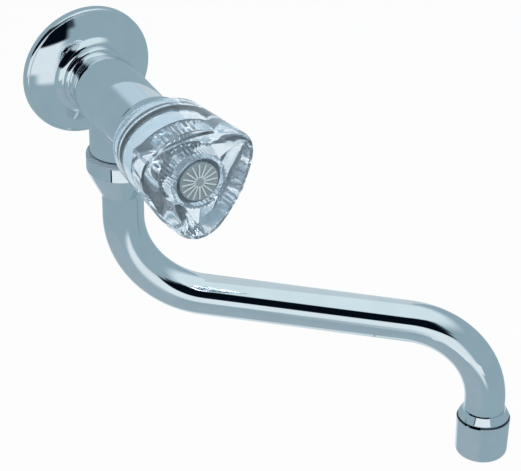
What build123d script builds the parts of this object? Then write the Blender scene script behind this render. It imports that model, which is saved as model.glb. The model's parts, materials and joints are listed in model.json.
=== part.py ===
from build123d import *
import math
import os

os.makedirs("parts", exist_ok=True)

# Wall-mounted swivel basin tap, in millimetres.
# The wall is the plane Y = 0 and the tap stands out of it towards -Y, with +Z up.
# A depth is a distance out from the wall along the inlet axis.
# A drop is a distance below the inlet axis, on the swivel axis of the spout.

# Clearances
running_gap = 0.05      # radial, between pieces that turn or slide in each other
joined_gap = 0.02       # radial, between pieces that are screwed, brazed or pressed together
loose_gap = 0.3         # radial, where one piece passes another without being guided by it

# Wall flange, a pressed rosette
flange_radius = 29.0
flange_rim_depth = 3.5
flange_bevel = 1.6
flange_sheet = 1.2
flange_dome = 0.42      # how far the face bulges out of a straight cone
flange_hub_radius = 17.7
flange_hub_depth = 9.8
flange_hub_round = 2.0
flange_hub_rise = 0.3   # straight wall under the hub's round

# Body casting
tail_radius = 10.48     # G1/2 male thread
tail_length = 15.0
tail_chamfer = 1.0
thread_runout = 1.0     # how far the thread's cylinder runs out in front of the wall
relief_radius = 10.0    # plain neck inside the flange
collar_radius = 14.5
collar_width = 2.4
collar_round = 2.0
neck_radius = 11.7      # at the waist
neck_edge_radius = 12.6     # where the waist begins and ends
neck_length = 3.6
barrel_swell = 7.0      # length over which the neck swells to the barrel
barrel_radius = 15.0    # where the swell ends
barrel_front_radius = 14.4
barrel_length = 65.4    # from the wall to the barrel's front face
barrel_chamfer = 0.6
outlet_depth = 36.0     # swivel axis
outlet_radius = 13.6
outlet_drop = 21.6
outlet_blend = 1.2      # casting fillet between barrel and outlet
outlet_thread_radius = 13.22    # G3/4 male thread under the boss
outlet_thread_length = 6.8
outlet_relief_radius = 12.2     # undercut between the boss and its thread
outlet_relief_length = 1.6

# Waterway
inlet_bore = 6.0
seat_width = 1.4
seat_height = 1.2
chamber_radius = 9.9
chamber_back = 9.7      # from the swivel axis back to the chamber floor
duct_radius = 6.6
spigot_radius = 8.4
spigot_length = 9.0

# Headwork
headwork_thread_radius = 10.46
headwork_thread_length = 14.5
headwork_sleeve_radius = 9.2
headwork_sleeve_length = 7.4
headwork_hex = 25.0     # across flats
headwork_hex_length = 4.8
headwork_neck_radius = 7.4
headwork_neck_length = 5.0
gasket_thickness = 1.2
gasket_width = 3.0

# Valve, with a screw lift of 1.5 mm a turn over two and a half turns
lift = 3.75
washer_radius = 7.2
washer_thickness = 3.0
washer_screw_radius = 1.45
washer_head_radius = 3.0
washer_head_height = 1.4
washer_screw_floor = 0.5    # left under the screw's hole
carrier_wall = 1.0
carrier_rim = 1.6
carrier_plate = 4.0
carrier_hex = 11.0      # across flats
carrier_length = 16.0
spindle_screw_radius = 3.9
spindle_shoulder_radius = 5.4
spindle_shoulder_length = 2.2
spindle_seal_radius = 4.5
spindle_drive_radius = 4.0
spindle_splines = 16
spline_depth = 0.45
seal_cord = 1.36
seal_groove_width = 1.8
seal_spacing = 3.6
slip_washer_thickness = 0.5
clip_thickness = 0.8
clip_width = 2.1
clip_opening = 40.0     # degrees

# Shroud, the chromed bell between the barrel and the knob
shroud_back_radius = 16.8
shroud_lip_radius = 17.4
shroud_front_radius = 19.0
shroud_overlap = 2.0    # how far its edge reaches back of the headwork's hexagon
shroud_length = 12.4    # in front of the hexagon's back face
shroud_step = 2.4
shroud_bulge = 0.3      # how far the flare stands out of a straight cone
shroud_wall = 1.1
shroud_web = 1.5

# Knob, clear and three-lobed, round a fluted core
knob_back_gap = 0.8     # open line between shroud and knob
knob_skirt = 5.8        # how far the knob reaches back over the shroud
knob_length = 30.6      # in front of the shroud
knob_back_lobe = 22.3
knob_back_side = 20.4
knob_front_lobe = 27.1
knob_front_side = 21.8
knob_back_round = 1.2
lobe_count = 3
lobe_angle = 32.3       # degrees, at rest, from +X towards +Z
lobe_sharpness = 1.6
lobe_edge_round = 0.7
lobe_rim = 1.3
dish_depth = 7.5
core_radius = 12.0      # over the teeth, at the front
core_back_radius = 14.4     # over the teeth, at the knob's insert
core_wall = 1.0
core_proud = 1.5        # how far the core stands out of the lobes
flute_count = 40
flute_depth = 0.55
inner_flute_length = 9.0
pocket_reach = 22.6
pocket_angle = 27.0     # degrees, each side of a lobe's middle
pocket_depth = 17.0
insert_radius = 14.2
insert_length = 10.2
insert_wall = 1.2
insert_web = 3.6
insert_hub_radius = 6.8
knob_web = 3.0
screw_tunnel = 5.2
screw_radius = 1.95
screw_head_radius = 3.8
screw_head_height = 2.6
screw_length = 15.0
screw_slot = 0.9

# Index cap, a ribbed disc
cap_pocket_radius = 10.5
cap_pocket_depth = 4.4
cap_flange = 1.5
cap_radius = 8.5
cap_height = 2.2
cap_rib_count = 16
cap_rib_width = 0.55
cap_rib_height = 0.5
cap_hub_radius = 2.3
cap_plug_length = 3.0

# Swivel nut and spout
nut_radius = 15.3
nut_top_round = 1.6
nut_gap = 0.7           # open line between boss and nut
nut_straight = 7.9
nut_drop = 41.9         # where the nut ends on the tube
nut_wall = 1.7
nut_tip_wall = 0.6      # at the bell's lower edge
nut_bulge = 0.15        # how far the bell stands out of a straight cone
tube_radius = 9.0
tube_wall = 1.0
swivel_flange_width = 2.1   # outside its sleeve
swivel_flange_thickness = 2.6
swivel_sleeve_wall = 1.0
swivel_sleeve_length = 1.8
swivel_bore = 6.8
thrust_ring_thickness = 0.8
thrust_washer_thickness = 0.7
spigot_seal_cord = 1.5
spigot_seal_spacing = 3.4
spigot_groove_width = 1.8
first_bend_drop = 54.9
first_bend_radius = 38.1
fall = 5.54             # degrees that the long run falls below level
run_length = 90.4
second_bend_radius = 37.8
tip_back = 1.78         # degrees past straight down
tube_tail = 8.25
rest_swivel = 57.66     # degrees from straight ahead, towards +X

# Aerator, an M22 x 1 female shell on an M22 x 1 male end
shell_radius = 11.9
shell_foot_radius = 11.5
shell_length = 19.0
shell_round = 2.4
shell_edge = 0.7
shell_lip = 1.5
shell_lip_radius = 8.9
adapter_thread_radius = 10.95
adapter_thread_length = 7.0
adapter_shoulder = 4.0
adapter_shoulder_radius = 11.3
adapter_top_wall = 0.6      # round the tube, at the adapter's upper edge
adapter_gap = 0.4
tube_seat = 1.5
aerator_washer_thickness = 1.8
aerator_washer_width = 2.6
insert_flange_thickness = 0.9
insert_bore_radius = 9.9
aerator_cup_wall = 1.0
inlet_plate = 1.0
inlet_holes = 8
inlet_hole_radius = 0.9
inlet_hole_circle = 5.4
screen_thickness = 0.3
screen_spacing = 1.2
screen_count = 2
grid_thickness = 2.0
grid_bars = 5
grid_bar = 0.5

# Depths and drops that follow from the sizes above
collar_depth = flange_hub_depth
neck_depth = collar_depth + collar_width
barrel_depth = neck_depth + neck_length + barrel_swell
chamber_depth = outlet_depth - chamber_back
seat_depth = chamber_depth + seat_height
headwork_depth = barrel_length + gasket_thickness
hex_front = headwork_depth + headwork_hex_length
neck_front = hex_front + headwork_neck_length
sleeve_back = barrel_length - headwork_thread_length - headwork_sleeve_length
thread_root = headwork_thread_radius + joined_gap
carrier_back = seat_depth + washer_thickness
carrier_stem = carrier_back + carrier_plate
carrier_front = carrier_stem + carrier_length
carrier_bore_floor = carrier_stem + joined_gap
shoulder_front = carrier_front + lift + spindle_shoulder_length + 2 * loose_gap
spindle_screw_back = carrier_bore_floor + lift + loose_gap
shroud_back = headwork_depth - shroud_overlap
shroud_front = headwork_depth + shroud_length
shroud_web_front = hex_front + shroud_web
knob_seat = shroud_front + knob_back_gap
knob_back = knob_seat - knob_skirt
knob_front = knob_seat + knob_length
core_front = knob_front + core_proud
insert_back = knob_seat + shroud_wall
insert_front = insert_back + insert_length
clip_back = neck_front + slip_washer_thickness
clip_front = clip_back + clip_thickness
drive_front = insert_front - insert_web - loose_gap
screw_seat = insert_front + knob_web
core_foot = insert_front + inner_flute_length
boss_end = outlet_drop + outlet_thread_length
nut_top = outlet_drop + nut_gap
thrust_drop = boss_end + thrust_ring_thickness
flange_foot = thrust_drop + swivel_flange_thickness
nut_shelf = flange_foot + thrust_washer_thickness
swivel_sleeve_radius = tube_radius + swivel_sleeve_wall
swivel_flange_radius = swivel_sleeve_radius + swivel_flange_width
adapter_top_radius = tube_radius + adapter_top_wall


def placed_out(piece):
    """Turn a piece made along +Z so that it stands out of the wall."""
    return Rot(90, 0, 0) * piece


def turned(corners):
    """Solid of revolution about Z from (radius, height) corners."""
    return revolve(Plane.XZ * make_face(Polyline(*corners, close=True)), Axis.Z)


def turned_from(lines):
    """Solid of revolution about Z from a closed run of lines and arcs."""
    return revolve(Plane.XZ * make_face(lines), Axis.Z)


def rod(radius, low, high):
    """Cylinder on the Z axis from one height to another."""
    return Pos(0, 0, low) * extrude(Circle(radius), high - low)


def ring(outer, inner, low, high):
    """Flat ring on the Z axis."""
    return Pos(0, 0, low) * extrude(Circle(outer) - Circle(inner), high - low)


def hexagon(across_flats, low, high):
    """Hexagonal prism on the Z axis."""
    corner = across_flats / math.sqrt(3)
    return Pos(0, 0, low) * extrude(RegularPolygon(corner, 6), high - low)


def seal_ring(centre_radius, cord, height):
    """Sealing ring on the Z axis, its round section cut to twelve flats."""
    section = Pos(centre_radius, height) * RegularPolygon(cord / 2, 12)
    return revolve(Plane.XZ * section, Axis.Z)


def toothed(outer, inner, teeth):
    """Wavy outline with straight flanks, one tip and one root for each tooth."""
    step = 180 / teeth
    corners = [(outer if i % 2 == 0 else inner, i * step) for i in range(2 * teeth)]
    points = [(r * math.cos(math.radians(a)), r * math.sin(math.radians(a))) for r, a in corners]
    return make_face(Polyline(*points, close=True))


def lobed(lobe, side):
    """Rounded three-lobed outline, its first lobe on +X."""
    steps = 8 * lobe_count
    points = []
    for i in range(steps):
        angle = math.radians(i * 360 / steps)
        share = ((1 + math.cos(lobe_count * angle)) / 2) ** lobe_sharpness
        radius = side + (lobe - side) * share
        points.append((radius * math.cos(angle), radius * math.sin(angle)))
    return make_face(Spline(*points, periodic=True))


def flange_outline(offset):
    """Closed half section under the flange's face, drawn back from it by an offset."""
    edge = flange_radius - offset
    rim = flange_rim_depth - offset
    bevel_in = flange_radius - flange_bevel
    bevel_low = flange_rim_depth - flange_bevel
    hub = flange_hub_radius - offset
    hub_in = flange_hub_radius - flange_hub_round
    hub_turn = flange_hub_depth - flange_hub_round
    hub_foot = hub_turn - flange_hub_rise - offset
    top = flange_hub_depth - offset
    lines = Line((0, 0), (edge, 0))
    lines += Line((edge, 0), (edge, bevel_low))
    lines += RadiusArc((edge, bevel_low), (bevel_in, rim), offset - flange_bevel)
    lines += SagittaArc((bevel_in, rim), (hub, hub_foot), -flange_dome)
    lines += Line((hub, hub_foot), (hub, hub_turn))
    lines += RadiusArc((hub, hub_turn), (hub_in, top), offset - flange_hub_round)
    lines += Line((hub_in, top), (0, top))
    lines += Line((0, top), (0, 0))
    return lines


def make_wall_flange():
    rosette = turned_from(flange_outline(0))
    hollow = turned_from(flange_outline(flange_sheet))
    bore = rod(tail_radius + loose_gap, 0, flange_hub_depth)
    return placed_out(rosette - hollow - bore)


def body_outline():
    """Closed half section of the casting round the inlet axis."""
    collar_turn = neck_depth - collar_round
    neck_end = neck_depth + neck_length
    neck_start = (neck_edge_radius, neck_depth)
    waist = (neck_radius, (neck_depth + neck_end) / 2)
    swell_foot = (neck_edge_radius, neck_end)
    swell_top = (barrel_radius, barrel_depth)
    rise = barrel_radius - neck_edge_radius
    swell_round = (barrel_swell ** 2 + rise ** 2) / (2 * rise)
    front = barrel_length - barrel_chamfer
    lines = Line((0, -tail_length), (tail_radius - tail_chamfer, -tail_length))
    lines += Line((tail_radius - tail_chamfer, -tail_length), (tail_radius, tail_chamfer - tail_length))
    lines += Line((tail_radius, tail_chamfer - tail_length), (tail_radius, thread_runout))
    lines += Line((tail_radius, thread_runout), (relief_radius, thread_runout))
    lines += Line((relief_radius, thread_runout), (relief_radius, collar_depth))
    lines += Line((relief_radius, collar_depth), (collar_radius, collar_depth))
    lines += Line((collar_radius, collar_depth), (collar_radius, collar_turn))
    lines += RadiusArc((collar_radius, collar_turn), neck_start, -collar_round)
    lines += ThreePointArc(neck_start, waist, swell_foot)
    lines += RadiusArc(swell_foot, swell_top, -swell_round)
    lines += Line(swell_top, (barrel_front_radius, front))
    lines += Line((barrel_front_radius, front), (barrel_front_radius - barrel_chamfer, barrel_length))
    lines += Line((barrel_front_radius - barrel_chamfer, barrel_length), (0, barrel_length))
    lines += Line((0, barrel_length), (0, -tail_length))
    return lines


def blended_boss(barrel):
    """Barrel with the outlet boss under it and a casting fillet where they meet."""
    boss = at_outlet(rod(outlet_radius, -outlet_drop, 0))
    joined = barrel + boss
    above_foot = -(barrel_radius + outlet_drop) / 2
    seam = [
        edge for edge in joined.edges()
        if abs(edge.center().Y + outlet_depth) < outlet_radius
        and above_foot < edge.center().Z < 0]
    return fillet(seam, outlet_blend)


def make_tap_body():
    casting = blended_boss(placed_out(turned_from(body_outline())))
    thread_top = -outlet_drop - outlet_relief_length
    casting += at_outlet(rod(outlet_relief_radius, thread_top, -outlet_drop))
    casting += at_outlet(rod(outlet_thread_radius, -boss_end, thread_top))
    waterway = rod(inlet_bore, -tail_length, seat_depth)
    chamber = rod(chamber_radius, chamber_depth, barrel_length)
    chamber -= rod(inlet_bore + seat_width, chamber_depth, seat_depth)
    thread_bore = rod(thread_root, barrel_length - headwork_thread_length, barrel_length)
    casting -= placed_out(waterway)
    casting -= placed_out(chamber)
    casting -= placed_out(thread_bore)
    duct = rod(duct_radius, -boss_end, 0)
    duct += rod(spigot_radius + running_gap, -boss_end, loose_gap + spigot_length - boss_end)
    return casting - at_outlet(duct)


def make_headwork_body():
    sleeve_front = barrel_length - headwork_thread_length
    body = rod(headwork_sleeve_radius, sleeve_back, sleeve_front)
    body += rod(headwork_thread_radius, sleeve_front, headwork_depth)
    body += hexagon(headwork_hex, headwork_depth, hex_front)
    body += rod(headwork_neck_radius, hex_front, neck_front)
    body -= hexagon(carrier_hex + 2 * running_gap, sleeve_back, shoulder_front)
    body -= rod(spindle_seal_radius + running_gap, shoulder_front, neck_front)
    return placed_out(body)


def make_headwork_gasket():
    inner = headwork_thread_radius + joined_gap
    return placed_out(ring(inner + gasket_width, inner, barrel_length, headwork_depth))


def make_headwork_shroud():
    """Bell with a rounded back edge, a step, and a flare towards the knob."""
    step_depth = shroud_back + shroud_step
    lines = Line((0, shroud_back), (shroud_back_radius - shroud_wall, shroud_back))
    lines += Line((shroud_back_radius - shroud_wall, shroud_back), (shroud_back_radius, shroud_back + shroud_wall))
    lines += Line((shroud_back_radius, shroud_back + shroud_wall), (shroud_lip_radius, step_depth))
    middle_radius = (shroud_lip_radius + shroud_front_radius) / 2 + shroud_bulge
    flare_middle = (middle_radius, (step_depth + shroud_front) / 2)
    lines += ThreePointArc((shroud_lip_radius, step_depth), flare_middle, (shroud_front_radius, shroud_front))
    lines += Line((shroud_front_radius, shroud_front), (0, shroud_front))
    lines += Line((0, shroud_front), (0, shroud_back))
    bell = turned_from(lines)
    back_bore = rod(shroud_back_radius - shroud_wall, shroud_back, hex_front)
    front_bore = rod(shroud_front_radius - 2 * shroud_wall, shroud_web_front, shroud_front)
    neck_bore = rod(headwork_neck_radius + joined_gap, hex_front, shroud_web_front)
    return placed_out(bell - back_bore - front_bore - neck_bore)


def make_valve_plunger():
    plate = rod(washer_radius + joined_gap + carrier_wall, carrier_back - carrier_rim, carrier_stem)
    plate -= rod(washer_radius + joined_gap, carrier_back - carrier_rim, carrier_back)
    stem = hexagon(carrier_hex, carrier_stem, carrier_front)
    bore = rod(spindle_screw_radius + running_gap, carrier_bore_floor, carrier_front)
    screw_hole = rod(washer_screw_radius + joined_gap, carrier_back, carrier_stem - washer_screw_floor)
    return placed_out(plate + stem - bore - screw_hole)


def make_valve_washer():
    return placed_out(ring(washer_radius, washer_screw_radius + joined_gap, seat_depth, carrier_back))


def make_washer_screw():
    head = turned([
        (0, seat_depth - washer_head_height),
        (washer_head_radius - washer_head_height / 2, seat_depth - washer_head_height),
        (washer_head_radius, seat_depth - washer_head_height / 2),
        (washer_head_radius, seat_depth),
        (0, seat_depth)])
    slot = Pos(0, 0, seat_depth - washer_head_height) * Box(2 * washer_head_radius, screw_slot, washer_head_height)
    shank = rod(washer_screw_radius, seat_depth, carrier_stem - washer_screw_floor - loose_gap)
    return placed_out(head - slot + shank)


def seal_heights():
    """Heights of the two sealing rings in the headwork's neck."""
    middle = (shoulder_front + neck_front) / 2
    return [middle - seal_spacing / 2, middle + seal_spacing / 2]


def spline_face(radius):
    return toothed(radius, radius - spline_depth, spindle_splines)


def make_spindle():
    shoulder_back = shoulder_front - spindle_shoulder_length
    spindle = rod(spindle_screw_radius, spindle_screw_back, shoulder_back)
    spindle += rod(spindle_shoulder_radius, shoulder_back, shoulder_front)
    spindle += rod(spindle_seal_radius, shoulder_front, clip_front + clip_thickness)
    spindle += Pos(0, 0, clip_front + clip_thickness) * extrude(
        spline_face(spindle_drive_radius), drive_front - clip_front - clip_thickness)
    groove_floor = spindle_seal_radius - seal_cord
    for height in seal_heights():
        low = height - seal_groove_width / 2
        spindle -= ring(spindle_seal_radius + joined_gap, groove_floor, low, low + seal_groove_width)
    spindle -= ring(spindle_seal_radius + joined_gap, spindle_drive_radius, clip_back, clip_front)
    thread_hole = rod(screw_radius + joined_gap, screw_seat - screw_length - loose_gap, drive_front)
    return placed_out(spindle - thread_hole)


def make_spindle_o_rings():
    cord = seal_cord
    centre = spindle_seal_radius - seal_cord / 2
    rings = [seal_ring(centre, cord - joined_gap, height) for height in seal_heights()]
    return placed_out(rings[0] + rings[1])


def make_spindle_washer():
    inner = spindle_seal_radius + loose_gap
    return placed_out(ring(headwork_neck_radius - loose_gap, inner, neck_front, clip_back))


def make_spindle_clip():
    inner = spindle_drive_radius + joined_gap
    clip = ring(inner + clip_width, inner, clip_back, clip_front)
    reach = 2 * (inner + clip_width)
    half = math.radians(clip_opening / 2)
    wedge = Polyline((0, 0), (reach, reach * math.tan(half)), (reach, -reach * math.tan(half)), close=True)
    return placed_out(clip - Pos(0, 0, clip_back) * extrude(make_face(wedge), clip_thickness))


def lobe_pocket():
    """Deep pocket in a lobe, open to the front, narrow outside and wide at the core."""
    half = math.radians(pocket_angle)
    inner = core_radius
    corner_x = inner * math.cos(half)
    corner_y = inner * math.sin(half)
    plan = make_face(Polyline((corner_x, -corner_y), (pocket_reach, 0), (corner_x, corner_y), close=True))
    plan = fillet(plan.vertices().sort_by(Axis.X)[-1], lobe_edge_round)
    return Pos(0, 0, knob_front - pocket_depth) * extrude(plan, pocket_depth + core_proud)


def make_knob():
    shoulder = knob_back + knob_back_round
    back = Pos(0, 0, shoulder) * lobed(knob_back_lobe, knob_back_side)
    front = Pos(0, 0, knob_front) * lobed(knob_front_lobe, knob_front_side)
    shell = loft([back, front], ruled=True)
    drawn_in = knob_back_round / 2
    tail = Pos(0, 0, knob_back) * lobed(knob_back_lobe - drawn_in, knob_back_side - drawn_in)
    shell += loft([tail, back], ruled=True)
    dish_top = Pos(0, 0, knob_front) * lobed(knob_front_lobe - lobe_rim, knob_front_side - lobe_rim)
    dish_floor = Pos(0, 0, knob_front - dish_depth) * Circle(core_back_radius)
    shell -= loft([dish_floor, dish_top])
    for i in range(lobe_count):
        shell -= Rot(0, 0, i * 360 / lobe_count) * lobe_pocket()
    shell += fluted_cone(0, core_front)
    shell -= rod(shroud_front_radius + loose_gap, knob_back, knob_seat)
    shell -= rod(insert_radius + joined_gap, knob_seat, insert_front)
    return Rot(0, 0, lobe_angle) * (shell - core_cavity())


def fluted_cone(inset, front):
    """Toothed cone from the insert's front face, drawn in by an inset."""
    share = (front - insert_front) / (core_front - insert_front)
    back_tip = core_back_radius - inset
    front_tip = back_tip + (core_radius - core_back_radius) * share
    back_face = Pos(0, 0, insert_front) * toothed(back_tip, back_tip - flute_depth, flute_count)
    front_face = Pos(0, 0, front) * toothed(front_tip, front_tip - flute_depth, flute_count)
    return loft([back_face, front_face], ruled=True)


def core_cavity():
    """Fluted hollow behind the core, the screw tunnel and the cap's pocket."""
    hollow = fluted_cone(core_wall, core_foot)
    hollow -= rod(insert_hub_radius, insert_front, core_foot)
    hollow += rod(screw_radius + loose_gap, insert_front, screw_seat)
    hollow += rod(screw_tunnel, screw_seat, core_front)
    hollow += rod(cap_pocket_radius, core_front - cap_pocket_depth, core_front)
    return hollow


def make_knob_insert():
    front = insert_front
    bush = rod(insert_radius, insert_back, front)
    bush -= ring(insert_radius - insert_wall, insert_hub_radius, insert_back, front - insert_web)
    broach = spline_face(spindle_drive_radius + running_gap)
    bush -= Pos(0, 0, insert_back) * extrude(broach, front - insert_web - insert_back)
    bush -= rod(screw_radius + loose_gap, front - insert_web, front)
    return placed_out(bush)


def make_knob_screw():
    head = turned([
        (0, screw_seat),
        (screw_head_radius, screw_seat),
        (screw_head_radius, screw_seat + screw_head_height / 2),
        (screw_head_radius - screw_head_height / 2, screw_seat + screw_head_height),
        (0, screw_seat + screw_head_height)])
    slot = Pos(0, 0, screw_seat + screw_head_height) * Box(2 * screw_head_radius, screw_slot, screw_head_height)
    return placed_out(head - slot + rod(screw_radius, screw_seat - screw_length, screw_seat))


def make_index_cap():
    floor = core_front - cap_pocket_depth
    face = floor + cap_flange + cap_height
    cap = rod(cap_pocket_radius - joined_gap, floor, floor + cap_flange)
    cap += rod(cap_radius, floor + cap_flange, face)
    cap += rod(cap_hub_radius, face, face + cap_rib_height)
    cap += rod(screw_tunnel - joined_gap, floor - cap_plug_length, floor)
    rib_length = cap_radius - cap_hub_radius
    rib_middle = (cap_radius + cap_hub_radius) / 2 - cap_rib_width
    rib = Pos(rib_middle, 0, face + cap_rib_height / 2) * Box(rib_length, cap_rib_width, cap_rib_height)
    for i in range(cap_rib_count):
        cap += Rot(0, 0, i * 360 / cap_rib_count) * rib
    return placed_out(cap)


def at_outlet(piece):
    """Move a piece made on the Z axis to the swivel axis."""
    return Pos(0, -outlet_depth, 0) * piece


def swung(piece):
    """Put a spout piece, made pointing straight ahead of the swivel axis, in its rest position."""
    return at_outlet(Rot(0, 0, rest_swivel) * piece)


def make_swivel_nut():
    cylinder_foot = -nut_top - nut_straight
    throat = tube_radius + loose_gap
    tip = throat + nut_tip_wall
    shelf = -nut_shelf
    curve_middle = ((nut_radius + tip) / 2 + nut_bulge, (cylinder_foot - nut_drop) / 2)
    round_in = (nut_radius - nut_top_round, -nut_top)
    round_out = (nut_radius, -nut_top - nut_top_round)
    lines = Line((0, -nut_top), round_in)
    lines += RadiusArc(round_in, round_out, nut_top_round)
    lines += Line(round_out, (nut_radius, cylinder_foot))
    lines += ThreePointArc((nut_radius, cylinder_foot), curve_middle, (tip, -nut_drop))
    lines += Line((tip, -nut_drop), (0, -nut_drop))
    lines += Line((0, -nut_drop), (0, -nut_top))
    shell = turned_from(lines)
    shell -= rod(outlet_thread_radius + joined_gap, shelf, -nut_top)
    shell -= turned([
        (0, shelf),
        (swivel_sleeve_radius + loose_gap, shelf),
        (swivel_sleeve_radius + loose_gap, -flange_foot - swivel_sleeve_length - loose_gap),
        (throat, -nut_drop + nut_wall),
        (throat, -nut_drop),
        (0, -nut_drop)])
    return at_outlet(shell)


def make_spout_collar():
    top = spigot_length - boss_end
    collar = rod(spigot_radius, -thrust_drop, top)
    collar += rod(swivel_flange_radius, -flange_foot, -thrust_drop)
    collar += rod(swivel_sleeve_radius, -flange_foot - swivel_sleeve_length, -flange_foot)
    groove_floor = spigot_radius - spigot_seal_cord
    for height in spigot_seal_heights():
        low = height - spigot_groove_width / 2
        collar -= ring(spigot_radius + joined_gap, groove_floor, low, low + spigot_groove_width)
    collar -= rod(swivel_bore, -flange_foot, top)
    collar -= rod(tube_radius + joined_gap, -flange_foot - swivel_sleeve_length, -thrust_drop - tube_wall)
    return swung(collar)


def spigot_seal_heights():
    middle = spigot_length / 2 - boss_end + running_gap
    return [middle - spigot_seal_spacing / 2, middle + spigot_seal_spacing / 2]


def make_spout_o_rings():
    centre = spigot_radius - spigot_seal_cord / 2
    cord = spigot_seal_cord - joined_gap
    rings = [seal_ring(centre, cord, height) for height in spigot_seal_heights()]
    return swung(rings[0] + rings[1])


def make_spout_thrust_ring():
    return swung(ring(swivel_flange_radius, spigot_radius + joined_gap, -thrust_drop, -boss_end))


def make_spout_slip_washer():
    inner = swivel_sleeve_radius + joined_gap
    return swung(ring(swivel_flange_radius, inner, -nut_shelf, -flange_foot))


def spout_path():
    """Centre line of the tube in its own plane, as (distance ahead of the swivel axis, height)."""
    down = Line((0, -thrust_drop - tube_wall), (0, -first_bend_drop))
    first = JernArc(down @ 1, down % 1, first_bend_radius, 90 - fall)
    run = Line(first @ 1, (first @ 1) + (first % 1) * run_length)
    second = JernArc(run @ 1, run % 1, second_bend_radius, -(90 - fall + tip_back))
    tail = Line(second @ 1, (second @ 1) + (second % 1) * (tube_tail + tube_seat))
    return [down, first, run, second, tail]


spout_plane = Plane((0, 0, 0), x_dir=(0, -1, 0), z_dir=(-1, 0, 0))


def outlet_plane():
    """Plane of the aerator's rim, with Z along the flow."""
    tail = spout_path()[-1]
    way = tail % 1
    end = (tail @ 1) - way * tube_seat
    return Plane((0, -end.X, end.Y), x_dir=(1, 0, 0), z_dir=(0, -way.X, way.Y))


def make_spout_tube():
    path = spout_plane * Wire([line.edge() for line in spout_path()])
    start = Plane(path @ 0, z_dir=path % 0)
    section = start * (Circle(tube_radius) - Circle(tube_radius - tube_wall))
    return swung(sweep(section, path=path))


def at_aerator(piece):
    return swung(outlet_plane() * piece)


def make_aerator_adapter():
    shoulder_low = -adapter_gap
    adapter = turned([
        (0, -adapter_shoulder),
        (adapter_top_radius, -adapter_shoulder),
        (adapter_shoulder_radius, shoulder_low - adapter_gap),
        (adapter_shoulder_radius, shoulder_low),
        (adapter_thread_radius, shoulder_low),
        (adapter_thread_radius, adapter_thread_length),
        (0, adapter_thread_length)])
    adapter -= rod(tube_radius + joined_gap, -adapter_shoulder, tube_seat)
    adapter -= rod(tube_radius - tube_wall, tube_seat, adapter_thread_length)
    return at_aerator(adapter)


insert_seat = adapter_thread_length + aerator_washer_thickness + insert_flange_thickness


def make_aerator_shell():
    foot = shell_length
    lines = Line((0, 0), (shell_radius - shell_edge, 0))
    lines += Line((shell_radius - shell_edge, 0), (shell_radius, shell_edge))
    round_out = (shell_foot_radius, foot - shell_round)
    round_in = (shell_foot_radius - shell_round, foot)
    lines += Line((shell_radius, shell_edge), round_out)
    lines += RadiusArc(round_out, round_in, -shell_round)
    lines += Line(round_in, (0, foot))
    lines += Line((0, foot), (0, 0))
    shell = turned_from(lines)
    shell -= rod(adapter_thread_radius + joined_gap, 0, insert_seat)
    shell -= rod(insert_bore_radius, insert_seat, foot - shell_lip)
    shell -= rod(shell_lip_radius, foot - shell_lip, foot)
    return at_aerator(shell)


def make_aerator_washer():
    outer = adapter_thread_radius - joined_gap
    low = adapter_thread_length
    return at_aerator(ring(outer, outer - aerator_washer_width, low, low + aerator_washer_thickness))


def cup_outer():
    return insert_bore_radius - joined_gap


def grid_top():
    return shell_length - shell_lip - grid_thickness


def make_aerator_body():
    top = adapter_thread_length + aerator_washer_thickness
    cup = rod(adapter_thread_radius - joined_gap, top, insert_seat)
    cup += rod(cup_outer(), insert_seat, grid_top())
    cup -= rod(cup_outer() - aerator_cup_wall, top + inlet_plate, grid_top())
    for i in range(inlet_holes):
        hole = Pos(inlet_hole_circle, 0, 0) * rod(inlet_hole_radius, top, top + inlet_plate)
        cup -= Rot(0, 0, i * 360 / inlet_holes) * hole
    return at_aerator(cup)


def make_aerator_screens():
    outer = cup_outer() - aerator_cup_wall - joined_gap
    first = (insert_seat + inlet_plate + grid_top()) / 2
    screens = []
    for i in range(screen_count):
        low = first + i * screen_spacing
        screens.append(ring(outer, screen_thickness, low, low + screen_thickness))
    return at_aerator(screens[0] + screens[1])


def make_flow_straightener():
    outer = cup_outer()
    frame = ring(outer, outer - aerator_cup_wall, grid_top(), grid_top() + grid_thickness)
    pitch = 2 * outer / (grid_bars + 1)
    bars = []
    for i in range(grid_bars):
        offset = (i - (grid_bars - 1) / 2) * pitch
        reach = 2 * math.sqrt(outer ** 2 - offset ** 2) - aerator_cup_wall
        middle = grid_top() + grid_thickness / 2
        bars.append(Pos(0, offset, middle) * Box(reach, grid_bar, grid_thickness))
        bars.append(Pos(offset, 0, middle) * Box(grid_bar, reach, grid_thickness))
    for bar in bars:
        frame += bar
    return at_aerator(frame)


pieces = {
    "wall_flange": make_wall_flange,
    "tap_body": make_tap_body,
    "headwork_body": make_headwork_body,
    "headwork_gasket": make_headwork_gasket,
    "headwork_shroud": make_headwork_shroud,
    "valve_plunger": make_valve_plunger,
    "valve_washer": make_valve_washer,
    "washer_screw": make_washer_screw,
    "spindle": make_spindle,
    "spindle_o_rings": make_spindle_o_rings,
    "spindle_washer": make_spindle_washer,
    "spindle_clip": make_spindle_clip,
    "knob": lambda: placed_out(make_knob()),
    "knob_insert": make_knob_insert,
    "knob_screw": make_knob_screw,
    "index_cap": make_index_cap,
    "swivel_nut": make_swivel_nut,
    "spout_collar": make_spout_collar,
    "spout_o_rings": make_spout_o_rings,
    "spout_thrust_ring": make_spout_thrust_ring,
    "spout_slip_washer": make_spout_slip_washer,
    "spout_tube": make_spout_tube,
    "aerator_adapter": make_aerator_adapter,
    "aerator_shell": make_aerator_shell,
    "aerator_washer": make_aerator_washer,
    "aerator_body": make_aerator_body,
    "aerator_screens": make_aerator_screens,
    "flow_straightener": make_flow_straightener,
}

for name, make in pieces.items():
    export_step(make(), f"parts/{name}.step")
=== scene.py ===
import json
import math

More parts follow.
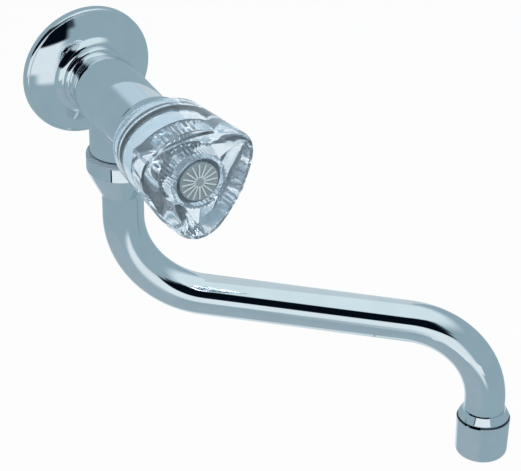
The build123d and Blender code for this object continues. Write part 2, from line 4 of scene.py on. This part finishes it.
import bmesh
import bpy
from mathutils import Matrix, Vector


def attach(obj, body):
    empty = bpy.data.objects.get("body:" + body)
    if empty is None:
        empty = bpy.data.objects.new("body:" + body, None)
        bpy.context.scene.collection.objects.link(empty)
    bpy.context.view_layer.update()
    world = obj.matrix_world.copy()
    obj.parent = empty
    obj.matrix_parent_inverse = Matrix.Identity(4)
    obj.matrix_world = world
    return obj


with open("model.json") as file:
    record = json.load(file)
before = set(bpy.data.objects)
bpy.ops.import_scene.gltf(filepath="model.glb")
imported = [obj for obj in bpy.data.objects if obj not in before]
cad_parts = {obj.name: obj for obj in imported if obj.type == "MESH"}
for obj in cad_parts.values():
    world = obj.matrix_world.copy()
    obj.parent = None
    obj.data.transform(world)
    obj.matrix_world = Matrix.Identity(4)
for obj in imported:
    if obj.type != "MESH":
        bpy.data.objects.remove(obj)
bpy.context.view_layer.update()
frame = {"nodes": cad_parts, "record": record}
scene = bpy.context.scene

# Camera at the photograph's angle: lengths in pixels and metres, angles in radians
FRAME_WIDTH = 521
FOCAL_LENGTH = 3003.9
SENSOR_WIDTH = 36       # millimetres
CAMERA_PLACE = (-0.4577, -1.0555, 0.5989)
CAMERA_TILT = 0.5366    # below the horizontal
CAMERA_TURN = 0.4748    # to the right of straight at the wall
CLIP_END = 20


def add_camera():
    data = bpy.data.cameras.new("camera")
    data.sensor_width = SENSOR_WIDTH
    data.lens = FOCAL_LENGTH / FRAME_WIDTH * SENSOR_WIDTH
    data.clip_end = CLIP_END
    camera = bpy.data.objects.new("camera", data)
    camera.location = CAMERA_PLACE
    camera.rotation_euler = (math.pi / 2 - CAMERA_TILT, 0, -CAMERA_TURN)
    scene.collection.objects.link(camera)
    scene.camera = camera


# Short ways to make meshes and nodes
def add_mesh(name, verts, faces, material):
    mesh = bpy.data.meshes.new(name)
    mesh.from_pydata(verts, [], faces)
    mesh.materials.append(material)
    thing = bpy.data.objects.new(name, mesh)
    scene.collection.objects.link(thing)
    return thing


def bare_material(name):
    """Material with an empty node tree."""
    material = bpy.data.materials.new(name)
    material.use_nodes = True
    material.node_tree.nodes.clear()
    return material


def coloured(tree, kind, colour):
    """A new shader node of one colour."""
    node = tree.nodes.new(kind)
    node.inputs["Color"].default_value = (*colour, 1)
    return node.outputs[0]


def mixed(tree, share, first, second):
    """Two shaders mixed by a share of the second."""
    node = tree.nodes.new("ShaderNodeMixShader")
    tree.links.new(share, node.inputs["Fac"])
    tree.links.new(first, node.inputs[1])
    tree.links.new(second, node.inputs[2])
    return node.outputs[0]


def calculated(tree, operation, *values):
    """Result of a Math node, each of whose values is a number or a node's output."""
    node = tree.nodes.new("ShaderNodeMath")
    node.operation = operation
    for socket, value in zip(node.inputs, values):
        if isinstance(value, (int, float)):
            socket.default_value = value
        else:
            tree.links.new(value, socket)
    return node.outputs[0]


def any_ray(tree, first, *others):
    """1 for a ray of any of the kinds named, as Light Path names them, and 0 for others."""
    path = tree.nodes.new("ShaderNodeLightPath")
    seen = path.outputs[first]
    for other in others:
        seen = calculated(tree, "MAXIMUM", seen, path.outputs[other])
    return seen


def show(tree, shader, kind="ShaderNodeOutputMaterial"):
    """Link a shader to a new output node."""
    tree.links.new(shader, tree.nodes.new(kind).inputs["Surface"])


# Studio: a round tent whose inside glows in light and dark patches, hidden from the camera and
# from what is seen through the clear plastic
WHITE = (1, 1, 1)
BLACK = (0.002, 0.004, 0.008)
TENT_BASE = (0.33, 0.45, 0.51)
TENT_CENTRE = Vector((0.04, -0.07, -0.05))
TENT_RADIUS = 4.0
TENT_COLUMNS = 360
TENT_ROWS = 180

# Patches of the tent, each over the ones before it, in degrees: colour, azimuths from and to with
# the width of their soft edges, and elevations likewise. Azimuth 0 is out of the wall, 90 to the
# right as seen from in front.
PATCHES = [
    ((0.79, 0.91, 0.95), (-45, 148, 12), (42, 95, 26)),
    ((0.55, 0.65, 0.71), (-200, -45, 20), (55, 95, 30)),
    ((0.38, 0.475, 0.53), (-185, -38, 30), (-95, -34, 6)),
    ((0.86, 0.94, 0.97), (-75, -6, 9), (-17, 10, 5)),
    ((0.86, 0.94, 0.97), (-31, -3, 13), (-27, 10, 5)),
    ((0.57, 0.72, 0.81), (146, 194, 16), (24, 70, 8)),
    (BLACK, (-134, -36, 8), (12, 58, 6)),
    ((0.04, 0.06, 0.08), (-30, 8, 6), (22, 46, 6)),
    (BLACK, (-37, 1, 7), (9.5, 48, 2.5)),
    ((0.62, 0.71, 0.76), (139, 151, 3), (-36, 76, 6)),
    ((0.72, 0.81, 0.86), (152, 186, 8), (-92, -31, 6)),
]


def step(x, edge, width):
    """Smooth rise from 0 to 1 over a width with its middle at an edge."""
    t = min(max((x - edge) / width + 0.5, 0), 1)
    return t * t * (3 - 2 * t)


def inside(x, low, high, width):
    return step(x, low, width) * (1 - step(x, high, width))


def tent_colour(azimuth, elevation):
    colour = TENT_BASE
    for patch, (left, right, side_soft), (low, high, end_soft) in PATCHES:
        turned = max(inside(azimuth + shift, left, right, side_soft) for shift in (-360, 0, 360))
        share = turned * inside(elevation, low, high, end_soft)
        colour = tuple(c + (k - c) * share for c, k in zip(colour, patch))
    return colour


def tent_glow():
    """Glow of the colours that the tent's mesh holds."""
    material = bare_material("tent_glow")
    tree = material.node_tree
    attribute = tree.nodes.new("ShaderNodeAttribute")
    attribute.attribute_name = "glow"
    emission = tree.nodes.new("ShaderNodeEmission")
    tree.links.new(attribute.outputs["Color"], emission.inputs["Color"])
    show(tree, emission.outputs[0])
    return material


def add_tent():
    verts, colours, faces = [], [], []
    for row in range(TENT_ROWS + 1):
        elevation = 90 - 180 * row / TENT_ROWS
        for column in range(TENT_COLUMNS):
            azimuth = -180 + 360 * column / TENT_COLUMNS
            a, e = math.radians(azimuth), math.radians(elevation)
            way = Vector((math.sin(a) * math.cos(e), -math.cos(a) * math.cos(e), math.sin(e)))
            verts.append(TENT_CENTRE + way * TENT_RADIUS)
            colours.append(tent_colour(azimuth, elevation))
    for row in range(TENT_ROWS):
        upper, lower = row * TENT_COLUMNS, (row + 1) * TENT_COLUMNS
        for column in range(TENT_COLUMNS):
            after = (column + 1) % TENT_COLUMNS
            faces.append((upper + column, upper + after, lower + after, lower + column))
    tent = add_mesh("tent", verts, faces, tent_glow())
    layer = tent.data.color_attributes.new("glow", "FLOAT_COLOR", "POINT")
    for point, colour in zip(layer.data, colours):
        point.color = (*colour, 1)
    tent.visible_camera = False
    tent.visible_shadow = False
    tent.visible_transmission = False


# Cards near the object, which only its reflections see: a disc behind the wall's plane, and curved
# cards round the nut and the aerator
BACK_CARD_RADIUS = 0.05
BACK_CARD_BEHIND = 0.003
BACK_CARD_CORNERS = 60
CARD_PALE = (0.9, 0.97, 1.0)
CARD_STEPS = 12
GLOW_REACH = 1.25       # how far a curved card's glow goes, in its own radii
NUT_AXIS = (0.0, -0.036)
NUT_CARD_RADIUS = 0.045
NUT_CARD_HEIGHTS = (-0.0475, -0.0405)
TIP_AXIS = (0.1337, -0.1207)
TIP_CARD_RADIUS = 0.051
TIP_CARD_HEIGHTS = (-0.1370, -0.1265)
TIP_RIGHT_HEIGHTS = (-0.1380, -0.1265)

# Name, axis, radius, azimuths from and to in degrees, heights from and to, colour
ARC_CARDS = [
    ("nut_card", NUT_AXIS, NUT_CARD_RADIUS, (-52, -8), NUT_CARD_HEIGHTS, CARD_PALE),
    ("nut_flag", NUT_AXIS, NUT_CARD_RADIUS, (-56, -52), NUT_CARD_HEIGHTS, BLACK),
    ("tip_card", TIP_AXIS, TIP_CARD_RADIUS, (-64, -2), TIP_CARD_HEIGHTS, CARD_PALE),
    ("tip_card_left", TIP_AXIS, TIP_CARD_RADIUS, (-130, -68), TIP_CARD_HEIGHTS, TENT_BASE),
    ("tip_card_right", TIP_AXIS, TIP_CARD_RADIUS, (2, 50), TIP_RIGHT_HEIGHTS, TENT_BASE),
]


def glowing(name, colour, within=None):
    """Glow of one colour, which reaches only as far as a distance where one is given."""
    material = bare_material(name)
    tree = material.node_tree
    glow = coloured(tree, "ShaderNodeEmission", colour)
    if within is not None:
        length = tree.nodes.new("ShaderNodeLightPath").outputs["Ray Length"]
        clear = tree.nodes.new("ShaderNodeBsdfTransparent").outputs[0]
        glow = mixed(tree, calculated(tree, "LESS_THAN", length, within), clear, glow)
    show(tree, glow)
    return material


def add_card(name, verts, faces, material):
    card = add_mesh(name, verts, faces, material)
    card.visible_camera = False
    card.visible_shadow = False
    card.visible_diffuse = False
    card.visible_transmission = False


def add_back_card():
    rim = []
    for corner in range(BACK_CARD_CORNERS):
        angle = math.radians(corner * 360 / BACK_CARD_CORNERS)
        x, z = BACK_CARD_RADIUS * math.cos(angle), BACK_CARD_RADIUS * math.sin(angle)
        rim.append((x, BACK_CARD_BEHIND, z))
    add_card("back_card", rim, [tuple(range(len(rim)))], glowing("back_card", TENT_BASE))


def add_arc_card(name, axis, radius, turn, heights, colour):
    verts = []
    for i in range(CARD_STEPS + 1):
        angle = math.radians(turn[0] + (turn[1] - turn[0]) * i / CARD_STEPS)
        x, y = axis[0] + radius * math.sin(angle), axis[1] - radius * math.cos(angle)
        verts += [(x, y, heights[0]), (x, y, heights[1])]
    faces = [(2 * i, 2 * i + 2, 2 * i + 3, 2 * i + 1) for i in range(CARD_STEPS)]
    add_card(name, verts, faces, glowing(name, colour, GLOW_REACH * radius))


# Floor, world and lamps
FLOOR_HEIGHT = -0.36
FLOOR_HALF = 3.0
FLOOR_COLOUR = (0.93, 0.86, 0.83)
FLOOR_GLOW = 0.93       # share of plain white that the camera sees in the floor
WORLD_COLOUR = (0.5, 0.53, 0.56)
LAMP_TARGET = (0.05, -0.06, -0.1)

# Name, place, diameter, power in watts
LAMPS = [
    ("key", (-0.9, -1.3, 1.7), 1.4, 26),
    ("fill", (1.3, -0.9, 1.1), 1.2, 10),
]


def add_floor():
    """Pale floor that keeps the object's shadow and hardly shows otherwise."""
    material = bare_material("floor_pale")
    tree = material.node_tree
    diffuse = coloured(tree, "ShaderNodeBsdfDiffuse", FLOOR_COLOUR)
    glow = coloured(tree, "ShaderNodeEmission", WHITE)
    seen = any_ray(tree, "Is Camera Ray", "Is Transmission Ray")
    show(tree, mixed(tree, calculated(tree, "MULTIPLY", seen, FLOOR_GLOW), diffuse, glow))
    corners = ((-1, -1), (1, -1), (1, 1), (-1, 1))
    verts = [(x * FLOOR_HALF, y * FLOOR_HALF, FLOOR_HEIGHT) for x, y in corners]
    floor = add_mesh("floor", verts, [(0, 1, 2, 3)], material)
    floor.visible_glossy = False


def add_world():
    """Grey light on the object, and white for the camera, reflections and what is seen through."""
    world = bpy.data.worlds.new("studio")
    scene.world = world
    world.use_nodes = True
    tree = world.node_tree
    tree.nodes.clear()
    grey = coloured(tree, "ShaderNodeBackground", WORLD_COLOUR)
    white = coloured(tree, "ShaderNodeBackground", WHITE)
    seen = any_ray(tree, "Is Camera Ray", "Is Transmission Ray", "Is Glossy Ray")
    show(tree, mixed(tree, seen, grey, white), "ShaderNodeOutputWorld")


def add_lamp(name, place, size, power):
    data = bpy.data.lights.new(name, "AREA")
    data.shape = "DISK"
    data.size = size
    data.energy = power
    lamp = bpy.data.objects.new(name, data)
    lamp.location = place
    way = Vector(LAMP_TARGET) - Vector(place)
    lamp.rotation_euler = way.to_track_quat("-Z", "Y").to_euler()
    lamp.visible_glossy = False
    scene.collection.objects.link(lamp)


# Materials
MIX_SOCKETS = {"RGBA": (6, 7, 2), "VECTOR": (4, 5, 1)}  # two inputs and the output, by number


def scaled(colour, share):
    return tuple(c * share for c in colour)


class Look:
    """A Principled material and short ways to add nodes to it. All places are in metres."""

    def __init__(self, name):
        self.material = bpy.data.materials.new(name)
        self.material.use_nodes = True
        self.tree = self.material.node_tree
        self.shader = self.tree.nodes["Principled BSDF"]
        self.place = self.tree.nodes.new("ShaderNodeTexCoord").outputs["Object"]

    def set(self, **values):
        for key, value in values.items():
            self.shader.inputs[key.replace("_", " ")].default_value = value
        return self

    def link(self, source, target):
        self.tree.links.new(source, target)

    def feed(self, name, source):
        """Link a value to one of the shader's inputs."""
        self.link(source, self.shader.inputs[name])

    def fed(self, name):
        """The output that one of the shader's inputs is linked to."""
        return self.shader.inputs[name].links[0].from_socket

    def math(self, operation, *values):
        return calculated(self.tree, operation, *values)

    def noise(self, scale, detail, rough, stretch=None):
        node = self.tree.nodes.new("ShaderNodeTexNoise")
        node.inputs["Scale"].default_value = scale
        node.inputs["Detail"].default_value = detail
        node.inputs["Roughness"].default_value = rough
        source = self.place
        if stretch:
            mapping = self.tree.nodes.new("ShaderNodeMapping")
            mapping.inputs["Scale"].default_value = stretch
            self.link(self.place, mapping.inputs["Vector"])
            source = mapping.outputs["Vector"]
        self.link(source, node.inputs["Vector"])
        return node.outputs["Fac"]

    def wave(self, scale, direction):
        node = self.tree.nodes.new("ShaderNodeTexWave")
        node.bands_direction = direction
        node.inputs["Scale"].default_value = scale
        self.link(self.place, node.inputs["Vector"])
        return node.outputs["Fac"]

    def ramp(self, value, low, high, start=0.35, end=0.65):
        """Smooth change from low to high while a value goes from start to end, by default over
        the middle of a noise's range."""
        node = self.tree.nodes.new("ShaderNodeMapRange")
        node.interpolation_type = "SMOOTHSTEP"
        node.inputs["From Min"].default_value = start
        node.inputs["From Max"].default_value = end
        node.inputs["To Min"].default_value = low
        node.inputs["To Max"].default_value = high
        self.link(value, node.inputs["Value"])
        return node.outputs["Result"]

    def blend(self, share, a, b, kind="RGBA"):
        """Mix of two colours or vectors; a colour may be given as numbers."""
        node = self.tree.nodes.new("ShaderNodeMix")
        node.data_type = kind
        self.link(share, node.inputs[0])
        first, second, result = MIX_SOCKETS[kind]
        for socket, value in ((first, a), (second, b)):
            if isinstance(value, tuple):
                node.inputs[socket].default_value = (*value, 1)
            else:
                self.link(value, node.inputs[socket])
        return node.outputs[result]

    def between(self, value, low, high, soft):
        """1 where a value lies between two limits, with soft edges."""
        rise = self.ramp(value, 0, 1, low - soft, low + soft)
        fall = self.ramp(value, 1, 0, high - soft, high + soft)
        return self.math("MULTIPLY", rise, fall)

    def split(self):
        """The x, y and z of each point."""
        node = self.tree.nodes.new("ShaderNodeSeparateXYZ")
        self.link(self.place, node.inputs[0])
        return node.outputs

    def radius(self):
        """Distance from the inlet axis."""
        x, _, z = self.split()
        squares = self.math("MULTIPLY", x, x), self.math("MULTIPLY", z, z)
        return self.math("SQRT", self.math("ADD", *squares))

    def along(self, axis, start):
        """Distance from a point along an axis."""
        node = self.tree.nodes.new("ShaderNodeVectorMath")
        node.operation = "DOT_PRODUCT"
        node.inputs[1].default_value = axis
        self.link(self.place, node.inputs[0])
        offset = sum(a * b for a, b in zip(axis, start))
        return self.math("SUBTRACT", node.outputs["Value"], offset)

    def tint(self, pattern, colour, other):
        """Colour the surface from one colour to another by a noise."""
        self.feed("Base Color", self.blend(self.ramp(pattern, 0, 1), colour, other))

    def shade_in(self, share, colour):
        """Change the surface to another colour where a share is high."""
        self.feed("Base Color", self.blend(share, self.fed("Base Color"), colour))
        return self

    def coned(self, share, sine):
        """Lean the shading normal to the slope of a cone round the inlet axis where a share is
        high. The sine is that of the cone's normal, out of the wall."""
        x, _, z = self.split()
        square = self.math("MULTIPLY", sine, sine)
        cosine = self.math("SQRT", self.math("SUBTRACT", 1.0, square))
        out = self.math("DIVIDE", cosine, self.radius())
        cone = self.tree.nodes.new("ShaderNodeCombineXYZ")
        self.link(self.math("MULTIPLY", x, out), cone.inputs[0])
        self.link(self.math("MULTIPLY", sine, -1.0), cone.inputs[1])
        self.link(self.math("MULTIPLY", z, out), cone.inputs[2])
        normal = self.tree.nodes.new("ShaderNodeNewGeometry").outputs["Normal"]
        leaned = self.blend(share, normal, cone.outputs[0], "VECTOR")
        self.link(leaned, self.fed("Normal").node.inputs["Normal"])
        return self

    def bump(self, height, distance):
        node = self.tree.nodes.new("ShaderNodeBump")
        node.inputs["Distance"].default_value = distance
        self.link(height, node.inputs["Height"])
        self.feed("Normal", node.outputs["Normal"])


CHROME = (0.78, 0.83, 0.86)
CHROME_FILM = 0.965     # how much of its colour the plating keeps under a film
BRASS = (0.80, 0.60, 0.30)
STEEL = (0.60, 0.60, 0.61)
RAW_ROUGHER = 0.22      # how much rougher raw brass is than plating


def chrome(name, ripple, seed):
    """Polished plating with a faint film, dull specks and a slight ripple."""
    look = Look(name).set(Metallic=1.0)
    film = look.noise(scale=90 + seed, detail=4, rough=0.55)
    specks = look.noise(scale=420 + 3 * seed, detail=2, rough=0.5)
    look.tint(film, CHROME, scaled(CHROME, CHROME_FILM))
    dull = look.ramp(specks, 0, 0.03, start=0.62, end=0.8)
    look.feed("Roughness", look.math("ADD", look.ramp(film, 0.025, 0.05), dull))
    look.bump(look.noise(scale=38 + seed, detail=1.5, rough=0.4), ripple)
    return look


def machined(name, colour, rough, worn, stretch):
    """Metal with the fine lines of a lathe or a die."""
    look = Look(name).set(Metallic=1.0)
    lines = look.noise(scale=260, detail=5, rough=0.6, stretch=stretch)
    look.tint(lines, colour, scaled(colour, worn))
    look.feed("Roughness", look.ramp(lines, rough - 0.06, rough + 0.08))
    look.bump(lines, 0.00002)
    return look


def plain(name, colour, rough, grain=900, depth=0.00001, shade=0.9):
    """Plastic, rubber or fibre with a fine grain and slightly uneven colour."""
    look = Look(name)
    speck = look.noise(scale=grain, detail=4, rough=0.6)
    cloud = look.noise(scale=grain / 12, detail=3, rough=0.5)
    look.tint(cloud, colour, scaled(colour, shade))
    look.feed("Roughness", look.ramp(speck, rough - 0.05, rough + 0.08))
    look.bump(speck, depth)
    return look


# Places on the object where a material changes, in metres: from and to along y, z or a radius
# round the inlet axis
BORE_RADIUS = 0.0112
BARREL_MOUTH_Y = -0.0645
# Painted shade in the gap under the boss
BOSS_GAP_Z = (-0.0242, -0.0219)
HUB_STEP_Y = (-0.0100, -0.0077)
HUB_STEP_RADII = (0.0146, 0.0178)
HUB_STEP_SINES = (0.93, 0.55)   # of the slope that the step is polished to
# Painted reflection tone on the nut's upper edge
NUT_EDGE_Z = (-0.0242, -0.0215)
# Painted shade at the shroud's front edge, and a painted dark ring on the knob's recess floor
SHROUD_EDGE_Y = (-0.0795, -0.0776)
RECESS_FLOOR_Y = (-0.0801, -0.0795)
RECESS_RING_RADII = (0.0138, 0.0174)
# Painted highlight on the cap's ribs, and painted shade round its edge
CAP_RIB_Y = (-0.1122, -0.11135)
CAP_RIB_RADII = (0.0017, 0.0023)
CAP_EDGE_Y = (-0.1100, -0.1060)

# The aerator shell's upper rim: its centre, the way that the water flows there, and the bevel
# along that way, which carries painted shade
RIM_CENTRE = (0.13372, -0.12066, -0.14859)
FLOW = (-0.02624, 0.01661, -0.99952)
RIM_BEVEL = (-0.0005, 0.0006)

# Painted shade: the near-black colour given to gaps that light hardly reaches
PAINTED_SHADE = (0.012, 0.016, 0.022)     # colour of a gap that light hardly reaches


def body_plating(name):
    """Chrome, with painted shade in the gap under the boss, and raw brass in the bores and on the
    tail.
    """
    look = chrome(name, ripple=0.000015, seed=0)
    _, y, z = look.split()
    bore = look.math("LESS_THAN", look.radius(), BORE_RADIUS)
    raw = look.math("MULTIPLY", bore, look.math("GREATER_THAN", y, BARREL_MOUTH_Y))
    look.shade_in(raw, BRASS)
    rougher = look.math("MULTIPLY", raw, RAW_ROUGHER)
    look.feed("Roughness", look.math("ADD", look.fed("Roughness"), rougher))
    # Painted shade: the band under the boss is coloured near black
    return look.shade_in(look.between(z, *BOSS_GAP_Z, soft=0.00008), PAINTED_SHADE)


def flange_plating(name):
    """Chrome, with the hub polished to a coned step."""
    look = chrome(name, ripple=0.00001, seed=3)
    hub = look.between(look.split()[1], *HUB_STEP_Y, soft=0.0002)
    return look.coned(hub, look.ramp(look.radius(), *HUB_STEP_SINES, *HUB_STEP_RADII))


def nut_plating(name):
    """Chrome, matt and painted grey-blue where the upper edge turns in under the boss: a painted
    reflection tone in place of the dark gap that this edge would mirror.
    """
    look = chrome(name, ripple=0.00001, seed=11)
    edge = look.between(look.split()[2], *NUT_EDGE_Z, soft=0.0002)
    # Painted reflection tone: the upper edge is made matt grey-blue instead of mirroring the dark
    # gap
    look.feed("Metallic", look.ramp(edge, 1.0, 0.15, start=0, end=1))
    return look.shade_in(edge, (0.38, 0.47, 0.53))


def shroud_plating(name):
    """Chrome with painted shade, a near-black band, at the front edge in the gap behind the knob.
    """
    look = chrome(name, ripple=0.00001, seed=7)
    # Painted shade: a near-black band on the front edge
    return look.shade_in(look.between(look.split()[1], *SHROUD_EDGE_Y, soft=0.0002), PAINTED_SHADE)


def shell_plating(name):
    """Chrome with painted shade, a dark band, on the bevelled upper edge."""
    look = chrome(name, ripple=0.00001, seed=9)
    bevel = look.between(look.along(FLOW, RIM_CENTRE), *RIM_BEVEL, soft=0.00015)
    # Painted shade: a dark band on the bevel
    return look.shade_in(bevel, (0.05, 0.07, 0.09))


def clear_plastic(name):
    """Clear plastic with a faint haze and a painted glow that stands in for light scattered inside
    it, and painted shade, a dark ring in the gap over the shroud's front edge. The dark ring is
    metallic, because a clear surface reflects from inside whatever its colour."""
    # Painted glow: a faint blue emission that stands in for light scattered inside the plastic
    look = Look(name).set(IOR=1.37, Transmission_Weight=0.94, Emission_Color=(0.45, 0.62, 0.75, 1))
    haze = look.noise(scale=140, detail=3, rough=0.5)
    look.tint(haze, (0.80, 0.875, 0.92), (0.75, 0.835, 0.89))
    look.feed("Roughness", look.ramp(haze, 0.004, 0.025))
    look.bump(look.noise(scale=60, detail=2, rough=0.45), 0.00003)
    # Painted shade: a dark metallic ring on the recess floor, over the shroud's front edge
    floor = look.between(look.split()[1], *RECESS_FLOOR_Y, soft=0.0001)
    ring = look.between(look.radius(), *RECESS_RING_RADII, soft=0.0002)
    gap = look.math("MULTIPLY", floor, ring)
    look.feed("Metallic", gap)
    look.feed("Emission Strength", look.ramp(gap, 0.05, 0.0, start=0, end=1))
    return look.shade_in(gap, PAINTED_SHADE)


def ribbed_cap(name):
    """Silvery grey, with a painted highlight on the ribs and painted shade round the edge."""
    look = plain(name, (0.27, 0.33, 0.35), rough=0.28)
    y = look.split()[1]
    raised = look.between(y, *CAP_RIB_Y, soft=0.0001)
    beyond_hub = look.ramp(look.radius(), 0, 1, *CAP_RIB_RADII)
    # Painted highlight: the ribs are coloured paler beyond the hub
    look.shade_in(look.math("MULTIPLY", raised, beyond_hub), (0.58, 0.64, 0.66))
    # Painted shade: a dark band round the cap's edge
    return look.shade_in(look.between(y, *CAP_EDGE_Y, soft=0.0003), (0.13, 0.17, 0.20))


def woven_wire(name):
    """Fine steel wires that cross."""
    look = Look(name).set(Metallic=1.0, Base_Color=(0.66, 0.67, 0.68, 1))
    weave = look.math("MAXIMUM", look.wave(900, "X"), look.wave(900, "Y"))
    look.feed("Roughness", look.ramp(weave, 0.5, 0.25, start=0.2, end=0.9))
    look.bump(weave, 0.0001)
    return look


def rubber(name):
    return plain(name, (0.018, 0.018, 0.019), 0.62, grain=800, depth=0.00002, shade=0.6)


def fibre(name):
    return plain(name, (0.36, 0.10, 0.075), 0.7, grain=700, depth=0.00004, shade=0.7)


LOOKS = {
    "flange_chrome": flange_plating,
    "body_chrome": body_plating,
    "shroud_chrome": shroud_plating,
    "nut_chrome": nut_plating,
    "tube_chrome": lambda name: chrome(name, ripple=0.00002, seed=5),
    "shell_chrome": shell_plating,
    "turned_brass": lambda name: machined(name, BRASS, 0.26, worn=0.82, stretch=(1, 9, 1)),
    "plain_steel": lambda name: machined(name, STEEL, 0.3, worn=0.85, stretch=(1, 6, 1)),
    "screen_steel": woven_wire,
    "black_rubber": rubber,
    "gasket_fibre": fibre,
    "slip_plastic": lambda name: plain(name, (0.80, 0.78, 0.72), 0.4),
    "knob_clear": clear_plastic,
    "insert_bright": lambda name: chrome(name, ripple=0.00001, seed=13),
    "cap_grey": ribbed_cap,
    "aerator_white": lambda name: plain(name, (0.80, 0.82, 0.81), 0.42),
    "grid_white": lambda name: plain(name, (0.74, 0.76, 0.76), 0.4),
}
materials = {slot: make(slot).material for slot, make in LOOKS.items()}

for part in frame["record"]["subparts"]:
    node = frame["nodes"][part["node"]]
    node.data.materials.clear()
    node.data.materials.append(materials[part["material_slot"]])


# Inlet thread, G1/2 with 14 turns to the inch, on the tail behind the wall's plane
THREAD_PITCH = 0.001814
THREAD_ROOT = 0.01040
THREAD_CREST = 0.01076
THREAD_START = 0.0016
THREAD_END = 0.0141
FOOT_SHARE = 0.42       # half the width at the root, in pitches
TOP_SHARE = 0.18        # width at the crest, as a share of that at the root
STEPS_A_TURN = 64
RUN_IN_STEPS = 24       # steps over which the thread rises at its ends


def add_inlet_thread():
    half = THREAD_PITCH * FOOT_SHARE
    run = THREAD_END - THREAD_START - 2 * half
    turns = run / THREAD_PITCH
    steps = int(turns * STEPS_A_TURN)
    verts, faces = [], []
    for i in range(steps + 1):
        angle = 2 * math.pi * turns * i / steps
        middle = THREAD_START + half + run * i / steps
        rise = min(1.0, i / RUN_IN_STEPS, (steps - i) / RUN_IN_STEPS)
        top = THREAD_ROOT + (THREAD_CREST - THREAD_ROOT) * rise
        section = (
            (THREAD_ROOT, middle - half),
            (top, middle - half * TOP_SHARE),
            (top, middle + half * TOP_SHARE),
            (THREAD_ROOT, middle + half),
        )
        for radius, y in section:
            verts.append((radius * math.cos(angle), y, radius * math.sin(angle)))
    for i in range(steps):
        a, b = 4 * i, 4 * i + 4
        for k in range(4):
            after = (k + 1) % 4
            faces.append((a + k, a + after, b + after, b + k))
    last = 4 * steps
    faces.append((0, 3, 2, 1))
    faces.append((last, last + 1, last + 2, last + 3))
    thread = add_mesh("inlet_thread", verts, faces, materials["turned_brass"])
    shape = bmesh.new()
    shape.from_mesh(thread.data)
    bmesh.ops.recalc_face_normals(shape, faces=shape.faces)
    shape.to_mesh(thread.data)
    shape.free()
    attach(thread, "tap")


add_inlet_thread()

add_camera()
add_tent()
add_back_card()
for card in ARC_CARDS:
    add_arc_card(*card)
add_floor()
add_world()
for lamp in LAMPS:
    add_lamp(*lamp)

scene.view_settings.view_transform = "Standard"
